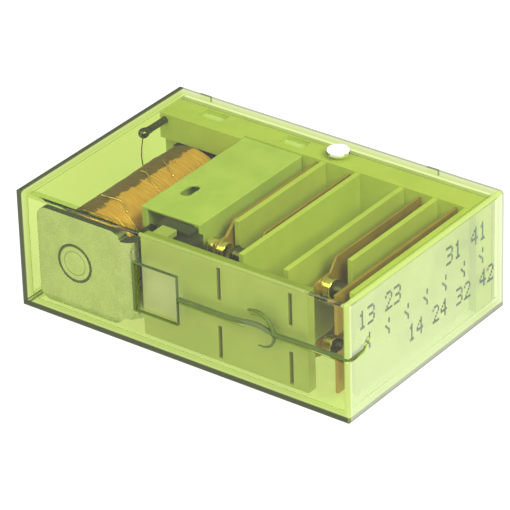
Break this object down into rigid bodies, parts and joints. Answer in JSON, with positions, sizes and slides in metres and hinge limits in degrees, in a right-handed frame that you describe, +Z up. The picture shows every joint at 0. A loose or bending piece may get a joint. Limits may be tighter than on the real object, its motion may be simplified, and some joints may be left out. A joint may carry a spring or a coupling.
{
  "type": "printed-circuit safety relay",
  "caption": "Flat printed-circuit relay with forcibly guided contacts in a transparent green cover, its coil, armature, card and contact springs visible inside.",
  "frame": {"origin": "centre of the bottom face, on which the relay lies", "axes": "+X along the length, +Y from the front (armature and card side) to the circuit-board side with the pins, +Z up"},
  "size_m": [0.05, 0.0365, 0.0165],
  "materials": {
    "clear_cover": "transparent green moulded plastic, polished",
    "base_plastic": "cream moulded plastic, satin",
    "hood_plastic": "pale green moulded plastic, satin",
    "dark_plastic": "charcoal moulded plastic, matte",
    "resin": "cast epoxy resin, slightly wavy",
    "vent": "matte white plug",
    "bobbin_plastic": "moulded plastic, matte",
    "enamelled_copper": "enamelled copper wire, scramble wound",
    "nickel_steel": "nickel-plated soft iron",
    "soft_iron": "dark annealed soft iron",
    "spring_steel": "bright spring steel",
    "card_plastic": "moulded plastic, matte cream",
    "solder": "solder, bright",
    "tinned_wire": "tinned copper",
    "gold_contact": "gold-flashed silver alloy, polished",
    "silver_contact": "silver alloy, tarnished",
    "contact_copper": "copper alloy strip, rolled, tinned at the pin"
  },
  "bodies": {
    "housing": {"cover": "clear_cover", "base": "base_plastic", "sealing_resin": "resin", "vent_plug": "vent", "bobbin": "bobbin_plastic", "coil_winding": "enamelled_copper", "coil_core": "nickel_steel", "yoke": "soft_iron", "pole_plate": "nickel_steel", "armature_spring": "spring_steel", "armature_hood": "hood_plastic", "coil_terminal_upper": "tinned_wire", "coil_terminal_lower": "tinned_wire", "coil_solder_beads": "solder", "coil_lead_start": "enamelled_copper", "coil_lead_finish": "enamelled_copper", "no_fixed_contact_upper": "contact_copper", "no_fixed_rivet_upper": "gold_contact", "no_moving_terminal_upper": "contact_copper", "no_fixed_contact_lower": "contact_copper", "no_fixed_rivet_lower": "gold_contact", "no_moving_terminal_lower": "contact_copper", "nc_fixed_contact_upper": "contact_copper", "nc_fixed_rivet_upper": "silver_contact", "nc_moving_terminal_upper": "contact_copper", "nc_fixed_contact_lower": "contact_copper", "nc_fixed_rivet_lower": "silver_contact", "nc_moving_terminal_lower": "contact_copper"},
    "armature": {"armature": "soft_iron", "armature_driver": "dark_plastic"},
    "card": {"actuator_card": "card_plastic"},
    "no_spring_upper": {"no_moving_spring_upper": "contact_copper", "no_moving_rivet_upper": "silver_contact"},
    "no_spring_lower": {"no_moving_spring_lower": "contact_copper", "no_moving_rivet_lower": "silver_contact"},
    "nc_spring_upper": {"nc_moving_spring_upper": "contact_copper", "nc_moving_rivet_upper": "gold_contact"},
    "nc_spring_lower": {"nc_moving_spring_lower": "contact_copper", "nc_moving_rivet_lower": "gold_contact"}
  },
  "joints": [
    {"name": "armature_swing", "type": "hinge", "parent": "housing", "child": "armature", "pos_m": [-0.0056, 0.01045, 0], "axis": [0, 0, 1], "range_deg": [-2.5, 0], "stiffness_Nm_per_rad": 0.02, "springref_deg": 2.86},
    {"name": "card_slide", "type": "slide", "parent": "housing", "child": "card", "axis": [1, 0, 0], "range_m": [-0.0011, 0]},
    {"name": "no_spring_upper_flex", "type": "hinge", "parent": "housing", "child": "no_spring_upper", "pos_m": [0.00515, 0.012, 0], "axis": [0, 0, 1], "range_deg": [-2.4, 0]},
    {"name": "no_spring_lower_flex", "type": "hinge", "parent": "housing", "child": "no_spring_lower", "pos_m": [0.00515, 0.012, 0], "axis": [0, 0, 1], "range_deg": [-2.4, 0]},
    {"name": "nc_spring_upper_flex", "type": "hinge", "parent": "housing", "child": "nc_spring_upper", "pos_m": [0.0157, 0.012, 0], "axis": [0, 0, 1], "range_deg": [-2.4, 0]},
    {"name": "nc_spring_lower_flex", "type": "hinge", "parent": "housing", "child": "nc_spring_lower", "pos_m": [0.0157, 0.012, 0], "axis": [0, 0, 1], "range_deg": [-2.4, 0]}
  ],
  "couplings": [
    {"joint": "card_slide", "follows": "armature_swing", "m_per_rad": 0.02455},
    {"joint": "no_spring_upper_flex", "follows": "armature_swing", "ratio": 0.9406},
    {"joint": "no_spring_lower_flex", "follows": "armature_swing", "ratio": 0.9406},
    {"joint": "nc_spring_upper_flex", "follows": "armature_swing", "ratio": 0.9406},
    {"joint": "nc_spring_lower_flex", "follows": "armature_swing", "ratio": 0.9406}
  ]
}
